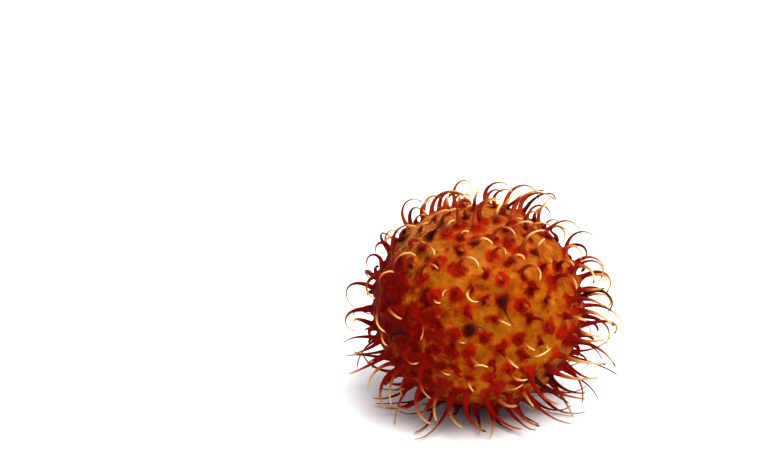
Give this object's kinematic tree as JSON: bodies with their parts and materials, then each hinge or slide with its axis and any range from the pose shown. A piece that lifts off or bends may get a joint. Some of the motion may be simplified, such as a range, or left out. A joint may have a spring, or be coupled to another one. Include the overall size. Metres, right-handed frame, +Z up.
{
  "type": "rambutan",
  "caption": "Whole ripe rambutan lying on its side: egg-shaped leathery rind with soft curling spines, a stalk scar at one end and a small flat spot to rest on.",
  "frame": {"origin": "Centre of the flat spot under the middle of the fruit, on the surface that the fruit rests on.", "axes": "+Z up, +Y along the fruit's long axis from the blossom end to the stalk scar, +X to the right when the blossom end faces the viewer."},
  "size_m": [0.0545, 0.0578, 0.0436],
  "materials": {
    "rind": "satin orange rind blotched red, with red spines that fade to pale yellow tips"
  },
  "bodies": {
    "root": {"rambutan": "rind"}
  },
  "joints": []
}
